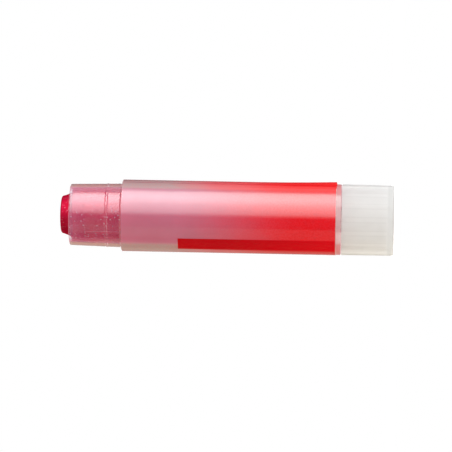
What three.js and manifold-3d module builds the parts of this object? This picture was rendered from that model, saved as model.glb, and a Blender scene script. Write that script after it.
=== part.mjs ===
// Twist-up pigment stick in a translucent tube, cap off and standing on its knob.
// Turning the knob turns a lead screw, and a keyed carrier climbs it and feeds the stick.
// Units are millimetres. +Z runs along the axis from the knob's flat end to the tip.
// Angles round the axis start at -Y, the side that faces the viewer, and grow towards +X.

import * as THREE from 'three';
import { mergeVertices, toCreasedNormals } from 'three/addons/utils/BufferGeometryUtils.js';
import Module from 'manifold-3d';

// Fits
const SEAT_GAP = 0.3; // between faces that bear on each other
const RUNNING_CLEARANCE = 0.15; // radial, where one piece slides or turns in another
const CAST_GAP = 0.15; // between the cast pigment and the carrier that holds it
const THREAD_CLEARANCE = 0.2; // between the screw and its nut, on crests and flanks

// Outside
const BODY_RADIUS = 8.4; // of the barrel and of the knob's open end

// Twist knob
const KNOB_HEIGHT = 12.3;
const KNOB_DRAFT = 0.09; // how much narrower the flat end is
const KNOB_WALL = 1.2;
const KNOB_END_WALL = 1.6;
const KNOB_CORNER = 0.4;
const KNOB_LIP_ROUND = 0.15;
const FOOT_RING_WIDTH = 1.9; // flat ring that it stands on
const FOOT_RECESS_DEPTH = 0.4;
const FOOT_RECESS_SLOPE = 0.5;
const SPLINE_COUNT = 16;
const SPLINE_HEIGHT = 0.5;
const SPLINE_WIDTH = 0.9;

// Barrel
const BARREL_LENGTH = 51.75; // foot to the edge of the shoulder
const BARREL_EDGE = 0.15;
const BARREL_WALL = 1.7;
const WEB_THICKNESS = 1.6; // floor of the bore, which carries the screw
const SHOULDER_EDGE_DEGREES = 70; // arc of the rounded edge, before the slope to the neck
const SHOULDER_RISE = 0.4;
const NECK_LENGTH = 12.2;
const SHOULDER_STEP = 0.8; // how far the neck's root stands inside the barrel
const NECK_DRAFT = 0.3; // how much narrower the rim is than the root
const RIM_ROUND = 0.22;
const BEAD_DROP = 8.85; // from the rim down to the cap's snap bead
const BEAD_HEIGHT = 0.18;
const BEAD_WIDTH = 0.9;
const BEAD_CROWN = 0.36; // width of the bead's flat top
const GUIDE_COUNT = 4;
const GUIDE_ANGLE = THREE.MathUtils.degToRad(49); // of the first guide rib
const GUIDE_HEIGHT = 0.3;
const GUIDE_WIDTH = 0.9;
const GUIDE_SETBACK = 3.9; // from the rim down to the end of the ribs

// Label film
const FILM_THICKNESS = 0.08;
const FILM_GLUE = 0.03;
const FILM_FOOT_MARGIN = 1.4; // bare barrel below the film
const FILM_TOP_MARGIN = 0.1;
const FILM_LAP = THREE.MathUtils.degToRad(14);
const FILM_START_ANGLE = THREE.MathUtils.degToRad(82);

// Lead screw
const THREAD_LEAD = 4; // rise per turn
const THREAD_LEFT_HAND = true; // so a clockwise turn seen from the knob raises the stick
const THREAD_CORE_RADIUS = 1.5;
const THREAD_HEIGHT = 0.9;
const THREAD_CREST_WIDTH = 1.0;
const THREAD_FLANK_WIDTH = 0.4;
const SCREW_TIP_DROP = 5.5; // from the rim of the neck down to the tip
const SCREW_TIP_TAPER = 1.6; // length of the cone that ends the thread
const SCREW_TIP_RADIUS = 0.8;
const JOURNAL_STEP = 0.45; // how far the journal stands over the thread's crest
const SNAP_HEIGHT = 1.2; // of the retaining bead above the floor
const SNAP_LAND = 0.4; // height of the bead's straight part, below its cone
const SNAP_CATCH = 0.5; // how far that bead stands over the journal
const DRUM_WALL = 1.3;
const DRUM_DISC = 1.5;

// Carrier cup
const CARRIER_HEIGHT = 6;
const CARRIER_WALL = 1;
const CARRIER_FLOOR = 1.2;
const HUB_WALL = 1.1; // round the nut's hollow
const HUB_HEIGHT = 7;
const FIN_COUNT = 4;
const FIN_WIDTH = 0.8;
const FIN_HEIGHT = 2;
const STOW_TRAVEL = 3; // from rest down to the floor
const CUP_LIP_CHAMFER = 0.25;

// Pigment stick
const TIP_PROUD = 2.2; // over the rim at rest
const TIP_RADIUS = 3.85; // of the front face, inside its rounded corner
const TIP_CORNER = 0.45;
const TIP_DOME = 0.1;
const NOSE_HALF_ANGLE = THREE.MathUtils.degToRad(25.6);
const STICK_BORE_MARGIN = 0.4; // round the screw

// Facets
const ROUND_STEPS = 72;
const INNER_STEPS = 36;
const CORNER_STEPS = 3;
const THREAD_STEPS_PER_TURN = 13;
const CREST_STEPS = 4;
const CORE_STEPS = 5;
const CREASE_ANGLE = THREE.MathUtils.degToRad(32);
const OVERSHOOT = 1; // how far a cutting tool runs past what it cuts

// Places along the axis
const BARREL_FOOT_Z = KNOB_HEIGHT + SEAT_GAP;
const WEB_TOP = WEB_THICKNESS;
const NECK_ROOT = BARREL_LENGTH + SHOULDER_RISE;
const RIM = NECK_ROOT + NECK_LENGTH;
const RIM_Z = BARREL_FOOT_Z + RIM;
const SNAP_FOOT_Z = BARREL_FOOT_Z + WEB_TOP + SEAT_GAP;
const SNAP_TOP_Z = SNAP_FOOT_Z + SNAP_HEIGHT;
const SCREW_TIP_Z = RIM_Z - SCREW_TIP_DROP;
const CARRIER_REST_Z = SNAP_TOP_Z + SEAT_GAP + STOW_TRAVEL;

// Radii that follow from walls and fits
const SPLINE_RADIUS = BODY_RADIUS - KNOB_WALL;
const BORE_RADIUS = BODY_RADIUS - BARREL_WALL;
const NECK_ROOT_RADIUS = BODY_RADIUS - SHOULDER_STEP;
const NECK_RIM_RADIUS = NECK_ROOT_RADIUS - NECK_DRAFT;
const CREST_RADIUS = THREAD_CORE_RADIUS + THREAD_HEIGHT;
const JOURNAL_RADIUS = CREST_RADIUS + JOURNAL_STEP;
const CARRIER_RADIUS = BORE_RADIUS - RUNNING_CLEARANCE;
const GUIDE_ROOM_RADIUS = BORE_RADIUS - GUIDE_HEIGHT - RUNNING_CLEARANCE;
const CUP_RADIUS = CARRIER_RADIUS - CARRIER_WALL;
const HUB_RADIUS = CREST_RADIUS + THREAD_CLEARANCE + HUB_WALL;
const STICK_RADIUS = GUIDE_ROOM_RADIUS;
const STICK_BORE_RADIUS = CREST_RADIUS + STICK_BORE_MARGIN;

const wasm = await Module();
wasm.setup();

/** Point of a turned profile: distance from the axis and height. */
function at(radius, height) {
  return new THREE.Vector2(radius, height);
}

/** Points on a circular arc of a profile, both ends included. */
function arc(centreRadius, centreHeight, radius, fromDegrees, toDegrees) {
  const points = [];
  for (let step = 0; step <= CORNER_STEPS; step += 1) {
    const degrees = THREE.MathUtils.lerp(fromDegrees, toDegrees, step / CORNER_STEPS);
    const angle = THREE.MathUtils.degToRad(degrees);
    points.push(at(centreRadius + radius * Math.cos(angle), centreHeight + radius * Math.sin(angle)));
  }
  return points;
}

/** Closed three.js geometry as a solid that can be joined and cut. */
function toSolid(geometry) {
  const bare = geometry.clone();
  bare.deleteAttribute('normal');
  bare.deleteAttribute('uv');
  const merged = mergeVertices(bare);
  return new wasm.Manifold(new wasm.Mesh({
    numProp: 3,
    vertProperties: Float32Array.from(merged.attributes.position.array),
    triVerts: Uint32Array.from(merged.index.array),
  }));
}

/** Solid as a geometry with smooth curves and crisp edges. */
function toGeometry(solid) {
  const mesh = solid.getMesh();
  const geometry = new THREE.BufferGeometry();
  geometry.setAttribute('position', new THREE.BufferAttribute(mesh.vertProperties, 3));
  geometry.setIndex(new THREE.BufferAttribute(mesh.triVerts, 1));
  return toCreasedNormals(geometry, CREASE_ANGLE);
}

/** Solid turned about Z from an anticlockwise profile that starts and ends on the axis. */
function turned(profile, steps = ROUND_STEPS) {
  const geometry = new THREE.LatheGeometry(profile, steps);
  geometry.rotateX(Math.PI / 2);
  return toSolid(geometry);
}

/** Solid raised from a flat outline between two heights. */
function raised(outline, fromZ, toZ) {
  const shape = new THREE.Shape(outline);
  const geometry = new THREE.ExtrudeGeometry(shape, { depth: toZ - fromZ, bevelEnabled: false });
  geometry.translate(0, 0, fromZ);
  return toSolid(geometry);
}

/** Point in plan at an angle from -Y towards +X. */
function inPlan(radius, angle) {
  return new THREE.Vector2(radius * Math.sin(angle), -radius * Math.cos(angle));
}

/** Plain round rod on the axis. */
function rod(radius, fromZ, toZ) {
  return turned([at(0, fromZ), at(radius, fromZ), at(radius, toZ), at(0, toZ)], INNER_STEPS);
}

/** Bar that lies radially between two distances from the axis. */
function radialBar(angle, fromRadius, toRadius, width, fromZ, toZ) {
  const middle = (fromRadius + toRadius) / 2;
  const geometry = new THREE.BoxGeometry(width, toRadius - fromRadius, toZ - fromZ);
  geometry.translate(0, -middle, (fromZ + toZ) / 2);
  geometry.rotateZ(angle);
  return toSolid(geometry);
}

/** The same bar repeated evenly round the axis, as one solid. */
function radialBars(count, firstAngle, ...bar) {
  let bars = radialBar(firstAngle, ...bar);
  for (let index = 1; index < count; index += 1) {
    bars = bars.add(radialBar(firstAngle + (index * 2 * Math.PI) / count, ...bar));
  }
  return bars;
}

/** Outline of the splined socket in the knob, drawn in by a clearance for what fits it. */
function splineOutline(clearance) {
  const outline = [];
  const pitch = (2 * Math.PI) / SPLINE_COUNT;
  const outer = SPLINE_RADIUS - clearance;
  const inner = SPLINE_RADIUS - SPLINE_HEIGHT - clearance;
  const halfWidth = SPLINE_WIDTH / 2 + clearance;
  for (let index = 0; index < SPLINE_COUNT; index += 1) {
    const middle = index * pitch;
    outline.push(inPlan(outer, middle - halfWidth / outer));
    outline.push(inPlan(inner, middle - halfWidth / inner));
    outline.push(inPlan(inner, middle + halfWidth / inner));
    outline.push(inPlan(outer, middle + halfWidth / outer));
    outline.push(inPlan(outer, middle + pitch / 2));
  }
  return outline;
}

/**
 * Single-start thread with its core. Every slice square to the axis has the same cam-like
 * outline, turned in step with its height. A clearance grows it into the nut's hollow. It is
 * made right-handed and mirrored, so that its facets follow the ridge either way.
 */
function thread(fromZ, toZ, clearance) {
  const core = THREAD_CORE_RADIUS + clearance;
  const crest = CREST_RADIUS + clearance;
  const turn = (2 * Math.PI) / THREAD_LEAD;
  const crestEdge = (THREAD_CREST_WIDTH / 2 + clearance) * turn;
  const flankFoot = crestEdge + THREAD_FLANK_WIDTH * turn;
  const outline = [];
  for (let step = 0; step <= CREST_STEPS; step += 1) {
    outline.push(inPlan(crest, THREE.MathUtils.lerp(-crestEdge, crestEdge, step / CREST_STEPS)));
  }
  for (let step = 0; step <= CORE_STEPS; step += 1) {
    const angle = THREE.MathUtils.lerp(flankFoot, 2 * Math.PI - flankFoot, step / CORE_STEPS);
    outline.push(inPlan(core, angle));
  }
  const length = toZ - fromZ;
  const geometry = new THREE.ExtrudeGeometry(new THREE.Shape(outline), {
    depth: length,
    steps: Math.ceil((length / THREAD_LEAD) * THREAD_STEPS_PER_TURN),
    bevelEnabled: false,
  });
  geometry.translate(0, 0, fromZ);
  const position = geometry.attributes.position;
  const point = new THREE.Vector3();
  const axis = new THREE.Vector3(0, 0, 1);
  for (let index = 0; index < position.count; index += 1) {
    point.fromBufferAttribute(position, index);
    point.applyAxisAngle(axis, point.z * turn);
    position.setXYZ(index, point.x, point.y, point.z);
  }
  const rightHand = toSolid(geometry);
  return THREAD_LEFT_HAND ? rightHand.mirror([1, 0, 0]) : rightHand;
}

/** Height on the cone that ends the screw, at a distance from the axis. */
function screwConeHeight(radius) {
  const fall = SCREW_TIP_TAPER / (CREST_RADIUS - SCREW_TIP_RADIUS);
  return SCREW_TIP_Z - fall * (radius - SCREW_TIP_RADIUS);
}

/** Knob: a drafted cup whose open end is a splined socket, standing on a narrow flat ring. */
function makeTwistKnob() {
  const endRadius = BODY_RADIUS - KNOB_DRAFT;
  const recessRadius = endRadius - KNOB_CORNER - FOOT_RING_WIDTH;
  const blank = turned([
    at(0, FOOT_RECESS_DEPTH),
    at(recessRadius - FOOT_RECESS_SLOPE, FOOT_RECESS_DEPTH),
    at(recessRadius, 0),
    ...arc(endRadius - KNOB_CORNER, KNOB_CORNER, KNOB_CORNER, -90, 0),
    ...arc(BODY_RADIUS - KNOB_LIP_ROUND, KNOB_HEIGHT - KNOB_LIP_ROUND, KNOB_LIP_ROUND, 0, 90),
    at(0, KNOB_HEIGHT),
  ]);
  return blank.subtract(raised(splineOutline(0), KNOB_END_WALL, KNOB_HEIGHT + OVERSHOOT));
}

/** Screw: a hollow splined drum in the knob, a journal with its snap bead, and the thread. */
function makeLeadScrew() {
  const drumFoot = KNOB_END_WALL + SEAT_GAP;
  const drumTop = KNOB_HEIGHT;
  const discFoot = drumTop - DRUM_DISC;
  const hollowRadius = SPLINE_RADIUS - SPLINE_HEIGHT - RUNNING_CLEARANCE - DRUM_WALL;
  const drum = raised(splineOutline(RUNNING_CLEARANCE), drumFoot, drumTop)
    .subtract(rod(hollowRadius, drumFoot - OVERSHOOT, discFoot));
  const journal = turned([
    at(0, discFoot),
    at(JOURNAL_RADIUS, discFoot),
    at(JOURNAL_RADIUS, SNAP_FOOT_Z),
    at(JOURNAL_RADIUS + SNAP_CATCH, SNAP_FOOT_Z),
    at(JOURNAL_RADIUS + SNAP_CATCH, SNAP_FOOT_Z + SNAP_LAND),
    at(CREST_RADIUS, SNAP_TOP_Z),
    at(0, SNAP_TOP_Z),
  ], INNER_STEPS);
  const pointedRoom = turned([
    at(0, SNAP_FOOT_Z),
    at(CREST_RADIUS + OVERSHOOT, SNAP_FOOT_Z),
    at(CREST_RADIUS + OVERSHOOT, screwConeHeight(CREST_RADIUS + OVERSHOOT)),
    at(SCREW_TIP_RADIUS, SCREW_TIP_Z),
    at(0, SCREW_TIP_Z),
  ], INNER_STEPS);
  const ridge = thread(SNAP_FOOT_Z, SCREW_TIP_Z + OVERSHOOT, 0).intersect(pointedRoom);
  return drum.add(journal).add(ridge);
}

/** Barrel: a tube with a floor, a stepped neck with a snap bead, and guide ribs in its bore. */
function makeBarrel() {
  const beadMiddle = RIM - BEAD_DROP;
  const neckRadiusAt = (height) => THREE.MathUtils.mapLinear(
    height, NECK_ROOT, RIM, NECK_ROOT_RADIUS, NECK_RIM_RADIUS,
  );
  const shell = turned([
    at(0, 0),
    at(BODY_RADIUS - BARREL_EDGE, 0),
    at(BODY_RADIUS, BARREL_EDGE),
    ...arc(
      BODY_RADIUS - BARREL_EDGE, BARREL_LENGTH - BARREL_EDGE, BARREL_EDGE, 0, SHOULDER_EDGE_DEGREES,
    ),
    at(NECK_ROOT_RADIUS, NECK_ROOT),
    at(neckRadiusAt(beadMiddle - BEAD_WIDTH / 2), beadMiddle - BEAD_WIDTH / 2),
    at(neckRadiusAt(beadMiddle - BEAD_CROWN / 2) + BEAD_HEIGHT, beadMiddle - BEAD_CROWN / 2),
    at(neckRadiusAt(beadMiddle + BEAD_CROWN / 2) + BEAD_HEIGHT, beadMiddle + BEAD_CROWN / 2),
    at(neckRadiusAt(beadMiddle + BEAD_WIDTH / 2), beadMiddle + BEAD_WIDTH / 2),
    ...arc(NECK_RIM_RADIUS - RIM_ROUND, RIM - RIM_ROUND, RIM_ROUND, 0, 90),
    at(0, RIM),
  ]);
  const bore = turned([
    at(0, WEB_TOP),
    at(BORE_RADIUS, WEB_TOP),
    at(BORE_RADIUS, RIM - RIM_ROUND / 2),
    at(BORE_RADIUS + RIM_ROUND / 2, RIM),
    at(BORE_RADIUS + RIM_ROUND / 2, RIM + OVERSHOOT),
    at(0, RIM + OVERSHOOT),
  ]);
  const guideRoot = (BORE_RADIUS + NECK_RIM_RADIUS) / 2;
  const guides = radialBars(
    GUIDE_COUNT, GUIDE_ANGLE, BORE_RADIUS - GUIDE_HEIGHT, guideRoot, GUIDE_WIDTH,
    WEB_TOP / 2, RIM - GUIDE_SETBACK,
  );
  const journalHole = rod(JOURNAL_RADIUS + RUNNING_CLEARANCE, -OVERSHOOT, WEB_TOP + OVERSHOOT);
  return shell.subtract(bore).add(guides).subtract(journalHole);
}

/** Label film: one thin wrap round the barrel whose end laps over its start. */
function makeLabelFilm() {
  const sweep = 2 * Math.PI + FILM_LAP;
  const innerRadius = BODY_RADIUS + FILM_GLUE;
  const lift = FILM_THICKNESS + FILM_GLUE;
  const lapStart = 1 - (2 * FILM_LAP) / sweep;
  const lapFull = 1 - FILM_LAP / sweep;
  const inside = [];
  const outside = [];
  for (let step = 0; step <= ROUND_STEPS; step += 1) {
    const share = step / ROUND_STEPS;
    const radius = innerRadius + lift * THREE.MathUtils.smoothstep(share, lapStart, lapFull);
    const angle = FILM_START_ANGLE - share * sweep;
    inside.push(inPlan(radius, angle));
    outside.push(inPlan(radius + FILM_THICKNESS, angle));
  }
  const length = BARREL_LENGTH - FILM_TOP_MARGIN - FILM_FOOT_MARGIN;
  const wrap = new THREE.Shape([...outside, ...inside.reverse()]);
  const geometry = new THREE.ExtrudeGeometry(wrap, { depth: length, bevelEnabled: false });
  geometry.translate(0, 0, FILM_FOOT_MARGIN);
  return toSolid(geometry);
}

/** Carrier: a keyed cup that holds the foot of the stick, with the nut as its hub. */
function makeCarrierCup() {
  const cup = turned([
    at(0, 0),
    at(CARRIER_RADIUS, 0),
    at(CARRIER_RADIUS, CARRIER_HEIGHT - CUP_LIP_CHAMFER),
    at(CARRIER_RADIUS - CUP_LIP_CHAMFER, CARRIER_HEIGHT),
    at(CUP_RADIUS, CARRIER_HEIGHT),
    at(CUP_RADIUS, CARRIER_FLOOR),
    at(HUB_RADIUS, CARRIER_FLOOR),
    at(HUB_RADIUS, HUB_HEIGHT),
    at(0, HUB_HEIGHT),
  ]);
  const fins = radialBars(
    FIN_COUNT, GUIDE_ANGLE + Math.PI / FIN_COUNT, (THREAD_CORE_RADIUS + HUB_RADIUS) / 2,
    (CUP_RADIUS + CARRIER_RADIUS) / 2, FIN_WIDTH, CARRIER_FLOOR / 2, CARRIER_FLOOR + FIN_HEIGHT,
  );
  const notches = radialBars(
    GUIDE_COUNT, GUIDE_ANGLE, GUIDE_ROOM_RADIUS, BORE_RADIUS + OVERSHOOT,
    GUIDE_WIDTH + 2 * RUNNING_CLEARANCE, -OVERSHOOT, CARRIER_HEIGHT + OVERSHOOT,
  );
  const nutHollow = thread(
    CARRIER_REST_Z - OVERSHOOT, CARRIER_REST_Z + HUB_HEIGHT + OVERSHOOT, THREAD_CLEARANCE,
  );
  return cup.add(fins).subtract(notches).subtract(nutHollow.translate([0, 0, -CARRIER_REST_Z]));
}

/** Pigment: a cast stick whose foot fills the cup, with a tapered nose and a bore for the screw. */
function makePigmentStick() {
  const foot = CARRIER_FLOOR + CAST_GAP;
  const footRadius = CUP_RADIUS - CAST_GAP;
  const ledge = CARRIER_HEIGHT + CAST_GAP;
  const front = RIM_Z + TIP_PROUD - CARRIER_REST_Z;
  const noseDegrees = THREE.MathUtils.radToDeg(NOSE_HALF_ANGLE);
  const cornerHeight = front - TIP_CORNER;
  const cornerEnd = TIP_RADIUS + TIP_CORNER * Math.cos(NOSE_HALF_ANGLE);
  const noseLength = (STICK_RADIUS - cornerEnd) / Math.tan(NOSE_HALF_ANGLE);
  const noseFoot = cornerHeight + TIP_CORNER * Math.sin(NOSE_HALF_ANGLE) - noseLength;
  const stick = turned([
    at(0, foot),
    at(footRadius, foot),
    at(footRadius, ledge),
    at(STICK_RADIUS, ledge),
    at(STICK_RADIUS, noseFoot),
    ...arc(TIP_RADIUS, cornerHeight, TIP_CORNER, noseDegrees, 90),
    ...[0.5, 0].map((share) => at(TIP_RADIUS * share, front + TIP_DOME * (1 - share * share))),
  ]);
  const hubRoom = rod(HUB_RADIUS + CAST_GAP, foot - OVERSHOOT, HUB_HEIGHT + CAST_GAP);
  const boreLift = STOW_TRAVEL + SEAT_GAP - CARRIER_REST_Z;
  const bore = turned([
    at(0, foot - OVERSHOOT),
    at(STICK_BORE_RADIUS, foot - OVERSHOOT),
    at(STICK_BORE_RADIUS, screwConeHeight(STICK_BORE_RADIUS) + boreLift),
    at(SCREW_TIP_RADIUS, SCREW_TIP_Z + boreLift),
    at(0, SCREW_TIP_Z + boreLift),
  ], INNER_STEPS);
  const finRoom = radialBars(
    FIN_COUNT, GUIDE_ANGLE + Math.PI / FIN_COUNT, STICK_BORE_RADIUS, CUP_RADIUS + OVERSHOOT,
    FIN_WIDTH + 2 * CAST_GAP, foot - OVERSHOOT, CARRIER_FLOOR + FIN_HEIGHT + CAST_GAP,
  );
  return stick.subtract(hubRoom).subtract(bore).subtract(finRoom);
}

/** Named mesh with its own material. */
function piece(name, solid, colour, roughness) {
  const material = new THREE.MeshStandardMaterial({ color: colour, roughness, metalness: 0 });
  const mesh = new THREE.Mesh(toGeometry(solid), material);
  mesh.name = name;
  return mesh;
}

const turningGroup = new THREE.Group();
turningGroup.add(piece('twist_knob', makeTwistKnob(), 0xeceae6, 0.55));
turningGroup.add(piece('lead_screw', makeLeadScrew(), 0xf2f0ea, 0.5));

const barrelGroup = new THREE.Group();
barrelGroup.position.z = BARREL_FOOT_Z;
barrelGroup.add(piece('barrel', makeBarrel(), 0xf0c6cc, 0.4));
barrelGroup.add(piece('label_film', makeLabelFilm(), 0xe0403f, 0.35));

const feedGroup = new THREE.Group();
feedGroup.position.z = CARRIER_REST_Z;
feedGroup.add(piece('carrier_cup', makeCarrierCup(), 0xf4f2ee, 0.5));
feedGroup.add(piece('pigment_stick', makePigmentStick(), 0xb81838, 0.7));

const assembly = new THREE.Group();
assembly.add(turningGroup, barrelGroup, feedGroup);

export default assembly;
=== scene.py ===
"""Twist-up pigment stick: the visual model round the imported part, its light and its camera.

The object's sizes are named in millimetres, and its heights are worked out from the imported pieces.
Sizes of the floor, the lamps and the camera are in metres. Meshes are made in metres in the part's
own frame: +Z runs from the knob's flat end to the tip. Angles round the axis are named in degrees.
They start at -Y, the side that faces the camera, and grow towards +X.
"""

import math
from collections import namedtuple

import bmesh
import bpy
import numpy as np
from mathutils import Matrix, Vector


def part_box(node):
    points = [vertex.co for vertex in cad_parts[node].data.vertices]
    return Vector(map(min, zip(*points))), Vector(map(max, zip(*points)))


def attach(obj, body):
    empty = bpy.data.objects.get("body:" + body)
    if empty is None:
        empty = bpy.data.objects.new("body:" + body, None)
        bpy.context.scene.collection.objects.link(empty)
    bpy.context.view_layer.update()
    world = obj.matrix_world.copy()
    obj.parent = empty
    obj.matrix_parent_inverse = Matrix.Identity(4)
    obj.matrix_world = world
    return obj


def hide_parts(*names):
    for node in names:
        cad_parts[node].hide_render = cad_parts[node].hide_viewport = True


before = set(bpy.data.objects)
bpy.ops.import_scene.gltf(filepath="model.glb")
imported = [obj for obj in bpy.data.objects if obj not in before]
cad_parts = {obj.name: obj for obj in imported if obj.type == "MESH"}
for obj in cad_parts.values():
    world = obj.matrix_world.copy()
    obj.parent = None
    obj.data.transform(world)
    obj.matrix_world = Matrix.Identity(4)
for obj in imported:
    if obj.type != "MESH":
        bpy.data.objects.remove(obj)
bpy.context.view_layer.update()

MM = 0.001


def ends_of(node):
    """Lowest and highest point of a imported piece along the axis, in millimetres."""
    low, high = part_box(node)
    return low.z / MM, high.z / MM


PACKED_BARREL_FOOT, PACKED_RIM = ends_of("barrel")
PACKED_FILM_FOOT, PACKED_FILM_TOP = ends_of("label_film")
PACKED_STICK_FOOT, PACKED_TIP = ends_of("pigment_stick")
PACKED_KNOB_FOOT, PACKED_KNOB_TOP = ends_of("twist_knob")

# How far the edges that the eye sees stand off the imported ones
FOOT_DROP = 0.12
FILM_FOOT_DROP = 0.3
FILM_TOP_RISE = 0.2
RIM_RISE = 0.05
KNOB_TOP_RISE = 0.1
FRONT_RISE = 0.07

# Barrel
BODY = 8.4
NECK_ROOT = 7.6
NECK_RIM = 7.3
BORE = 6.7
MOUTH_FLARE = 0.04
JOURNAL_HOLE = 3.0
FLOOR_THICKNESS = 1.6
FOOT_TAPER = 0.02
FOOT_ROUND = 0.16
HOLE_ROUND = 0.1
SHOULDER_OVER_FILM = 0.15
SHOULDER_SLOPE = 0.25
SHOULDER_ROUND = 0.1
ROOT_ROUND = 0.12
RIM_ROUND = 0.4
MOUTH_ROUND = 0.1
BEAD_DROP = 8.85
BEAD_HEIGHT = 0.07
BEAD_HALF_FOOT = 0.36
BEAD_HALF_CROWN = 0.16
BEAD_ROUND = 0.07
GUIDE_COUNT = 4
GUIDE_START = 49.0
GUIDE_HEIGHT = 0.3
GUIDE_SETBACK = 3.9
GUIDE_RAMP = 0.12
FILM_OVER_FOOT_SKIN = 0.3
FILM_OVER_NECK_SKIN = 0.15

# Knob
KNOB_END = 8.31
KNOB_CORNER = 0.32
KNOB_LIP_ROUND = 0.18
KNOB_FLOOR_THICKNESS = 1.6
RECESS = 5.5
RECESS_SLOPE = 0.5
RECESS_DEPTH = 0.4
RECESS_ROUND = 0.3
RING_ROUND = 0.2
SOCKET = 7.2
SOCKET_LIP_ROUND = 0.12
SPLINE_COUNT = 16
SPLINE_HEIGHT = 0.5

# Pigment. The nose is a list of corners: radius over the front's, depth behind it, rounding
STICK = 6.25
STICK_FOOT = 5.4
STICK_FOOT_ROUND = 0.1
STICK_LEDGE_RISE = 4.8
STICK_LEDGE_ROUND = 0.15
STICK_SHOULDER_DEPTH = 2.92
STICK_SHOULDER_ROUND = 0.35
FRONT = 3.85
NOSE = [(1.35, 2.52, 0.3), (0.86, 1.37, 0.3), (0.53, 0.22, 0.45)]
DOME_SHARE = 0.6
DOME_EDGE = 0.04
DOME_TOP = 0.1
DOME_ROUND = 1.4
HUB_HOLE = 3.85
HUB_HOLE_RISE = 5.8
STICK_BORE = 2.8
STICK_BORE_ROUND = 0.2
STICK_BORE_CONE = 2.0
STICK_BORE_END = 0.8
STICK_BORE_DEPTH = 4.57

# Film. Spans of its dip and flare are shares of the way round from its start to its end
FILM_INSIDE = 8.43
FILM_THICKNESS = 0.08
FILM_LIFT = 0.11
FILM_LAP = 14.0
FILM_START = 82.0
FILM_DIP = 0.12
DIP_SPAN = (0.955, 0.98)
FILM_FLARE = 0.36
FILM_FLARE_LENGTH = 21.0
FLARE_RISE = (0.86, 0.935)
FLARE_FALL = (0.945, 1.0)
FILM_COLUMNS = 300
FILM_ROWS = 48

# Roundings. Both limits are shares of the wall beside a corner. The hold stands off a rounding
ROUND_STEPS = 5
NOSE_STEPS = 7
ROUND_LIMIT = 0.45
HOLD = 0.12
HOLD_LIMIT = 0.48

# Ribs of bore and socket. Flank and clearing are shares of half a rib's width
RIB_WIDTH = 0.9
RIB_FLANK = 0.12
RIB_CLEARING = 1.2

# Meshes
BARREL_STEPS = 192
KNOB_STEPS = 160
STICK_STEPS = 180
FLOOR_STEPS = 96
SHARP_DEGREES = 32
WELD = 1e-7

# Heights
FOOT_Z = PACKED_BARREL_FOOT - FOOT_DROP
FLOOR_TOP_Z = PACKED_BARREL_FOOT + FLOOR_THICKNESS
FILM_FOOT_Z = PACKED_FILM_FOOT - FILM_FOOT_DROP
FILM_TOP_Z = PACKED_FILM_TOP + FILM_TOP_RISE
FILM_HEIGHT = FILM_TOP_Z - FILM_FOOT_Z
SHOULDER_Z = FILM_TOP_Z + SHOULDER_OVER_FILM
NECK_ROOT_Z = SHOULDER_Z + SHOULDER_SLOPE
RIM_Z = PACKED_RIM + RIM_RISE
BEAD_Z = PACKED_RIM - BEAD_DROP
GUIDE_END_Z = PACKED_RIM - GUIDE_SETBACK
RECESS_Z = PACKED_KNOB_FOOT + RECESS_DEPTH
SOCKET_FLOOR_Z = PACKED_KNOB_FOOT + KNOB_FLOOR_THICKNESS
KNOB_TOP_Z = PACKED_KNOB_TOP + KNOB_TOP_RISE
STICK_LEDGE_Z = PACKED_STICK_FOOT + STICK_LEDGE_RISE
HUB_HOLE_TOP_Z = PACKED_STICK_FOOT + HUB_HOLE_RISE
FRONT_Z = PACKED_TIP + FRONT_RISE
STICK_SHOULDER_Z = FRONT_Z - STICK_SHOULDER_DEPTH
STICK_BORE_END_Z = FRONT_Z - STICK_BORE_DEPTH

GUIDE_ANGLES = [GUIDE_START + 360.0 / GUIDE_COUNT * turn for turn in range(GUIDE_COUNT)]
SPLINE_ANGLES = [360.0 / SPLINE_COUNT * turn for turn in range(SPLINE_COUNT)]

WHITE = (1.0, 1.0, 1.0)

# Parts of a noise's values that a change runs over
WIDE = (0.3, 0.7)
NARROW = (0.35, 0.65)

# Gloss grows with this power of the turn away from the eye, up to this many times its value
GLOSS_POWER = 5.0
GLOSS_GROWTH = 12

# Slopes of a surface between which it changes from a wall into a flat end
UPRIGHT_SLOPES = (0.12, 0.35)

# Barrel's plastic: tone, tone of its painted reflection where it looks solid, milkiness, gloss, turn at
# which it looks solid
BARREL_SKINS = {
    "frosted_pink": ((0.80, 0.48, 0.68), (0.56, 0.37, 0.38), 0.04, 0.004, 0.38),
    "frosted_pink_neck": ((0.56, 0.21, 0.53), (0.64, 0.44, 0.43), 0.20, 0.10, 0.54),
    "frosted_pink_foot": ((0.92, 0.61, 0.63), (0.86, 0.38, 0.40), 0.72, 0.03, 0.28),
}
TONE_PALING = 0.25
TURN_BEFORE = 0.06
TURN_AFTER = 0.04
# Cover of the barrel's painted reflection, where the wall is seen edge on
PAINTED_REFLECTION_COVER = 0.94
# Painted shade along the barrel's outline: span of turn and its tone
BARREL_OUTLINE = (0.80, 0.95)
BARREL_OUTLINE_PAINTED_SHADE = (0.40, 0.21, 0.22)
BARREL_END_TONE = (0.92, 0.60, 0.70)
BARREL_END_MILK = 0.32
MOUTH_VEIL = 0.12
MOUTH_VEIL_Z = (RIM_Z - 5.0, RIM_Z - 0.5)

# Specks of pearl dust on the neck
SPECK_SIZE = 0.5
SPECK_PICK = (0.72, 0.86)
SPECK_CORE = (0.40, 0.22)
SPECK_COVER = 0.6
SPECK_TONE = (1.0, 0.86, 0.90)
SPECK_Z = (FILM_TOP_Z - 12.45, FILM_TOP_Z - 2.45)

# Bore
BORE_TONES = ((0.84, 0.28, 0.46), (0.78, 0.20, 0.38))
BORE_SIDE = (0.3, 0.6)
BORE_SIDE_TONE = (0.78, 0.31, 0.40)
BORE_MILK = (0.07, 0.11)
BORE_SIDE_COVER = 0.7
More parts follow.
